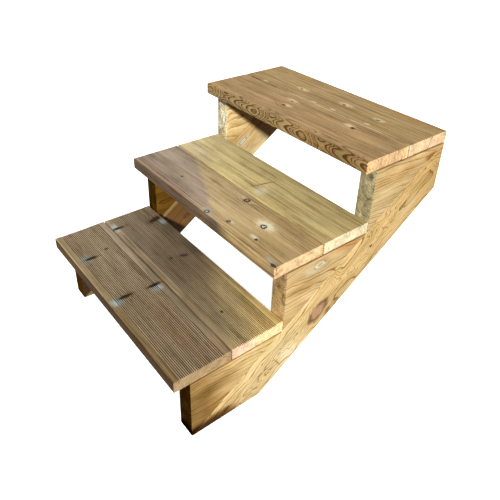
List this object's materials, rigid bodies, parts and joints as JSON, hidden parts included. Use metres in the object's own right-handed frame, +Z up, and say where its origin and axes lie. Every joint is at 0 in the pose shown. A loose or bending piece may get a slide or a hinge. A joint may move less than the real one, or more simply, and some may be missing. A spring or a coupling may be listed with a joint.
{
  "type": "spa steps",
  "caption": "Open-riser timber steps for a spa or deck: paired deck-board treads on built-up saw-tooth stringers, fixed at the back.",
  "frame": {"origin": "on the floor, below the centre of the steps' bounding box", "axes": "+X to the climber's right, +Y up the flight towards the spa or deck, +Z up"},
  "size_m": [0.6, 0.786, 0.531],
  "materials": {
    "tread_timber": "planed pressure-treated softwood decking, unsealed, matt",
    "stringer_timber": "planed pressure-treated softwood board, matt",
    "block_timber": "sawn and planed pressure-treated softwood, matt",
    "galvanised_steel": "galvanised, dull spangle",
    "screw_steel": "yellow-zinc coated, satin"
  },
  "bodies": {
    "root": {"tread_lower_front": "tread_timber", "tread_lower_back": "tread_timber", "tread_middle_front": "tread_timber", "tread_middle_back": "tread_timber", "tread_upper_front": "tread_timber", "tread_upper_back": "tread_timber", "stringer_board_left": "stringer_timber", "stringer_board_right": "stringer_timber", "step_block_left_lower": "block_timber", "step_block_left_middle": "block_timber", "step_block_left_upper": "block_timber", "step_block_right_lower": "block_timber", "step_block_right_middle": "block_timber", "step_block_right_upper": "block_timber", "tread_bracket_left_lower": "galvanised_steel", "tread_bracket_left_middle": "galvanised_steel", "tread_bracket_left_upper": "galvanised_steel", "tread_bracket_right_lower": "galvanised_steel", "tread_bracket_right_middle": "galvanised_steel", "tread_bracket_right_upper": "galvanised_steel", "tread_screw_left_lower_front": "screw_steel", "tread_screw_left_lower_back": "screw_steel", "tread_screw_left_middle_front": "screw_steel", "tread_screw_left_middle_back": "screw_steel", "tread_screw_left_upper_front": "screw_steel", "tread_screw_left_upper_back": "screw_steel", "tread_screw_right_lower_front": "screw_steel", "tread_screw_right_lower_back": "screw_steel", "tread_screw_right_middle_front": "screw_steel", "tread_screw_right_middle_back": "screw_steel", "tread_screw_right_upper_front": "screw_steel", "tread_screw_right_upper_back": "screw_steel", "bracket_screw_left_lower_front": "screw_steel", "bracket_screw_left_lower_back": "screw_steel", "bracket_screw_left_middle_front": "screw_steel", "bracket_screw_left_middle_back": "screw_steel", "bracket_screw_left_upper_front": "screw_steel", "bracket_screw_left_upper_back": "screw_steel", "bracket_screw_right_lower_front": "screw_steel", "bracket_screw_right_lower_back": "screw_steel", "bracket_screw_right_middle_front": "screw_steel", "bracket_screw_right_middle_back": "screw_steel", "bracket_screw_right_upper_front": "screw_steel", "bracket_screw_right_upper_back": "screw_steel", "block_screw_left_lower_front": "screw_steel", "block_screw_left_lower_back": "screw_steel", "block_screw_left_middle_front": "screw_steel", "block_screw_left_middle_back": "screw_steel", "block_screw_left_upper_front": "screw_steel", "block_screw_left_upper_back": "screw_steel", "block_screw_right_lower_front": "screw_steel", "block_screw_right_lower_back": "screw_steel", "block_screw_right_middle_front": "screw_steel", "block_screw_right_middle_back": "screw_steel", "block_screw_right_upper_front": "screw_steel", "block_screw_right_upper_back": "screw_steel"}
  },
  "joints": []
}
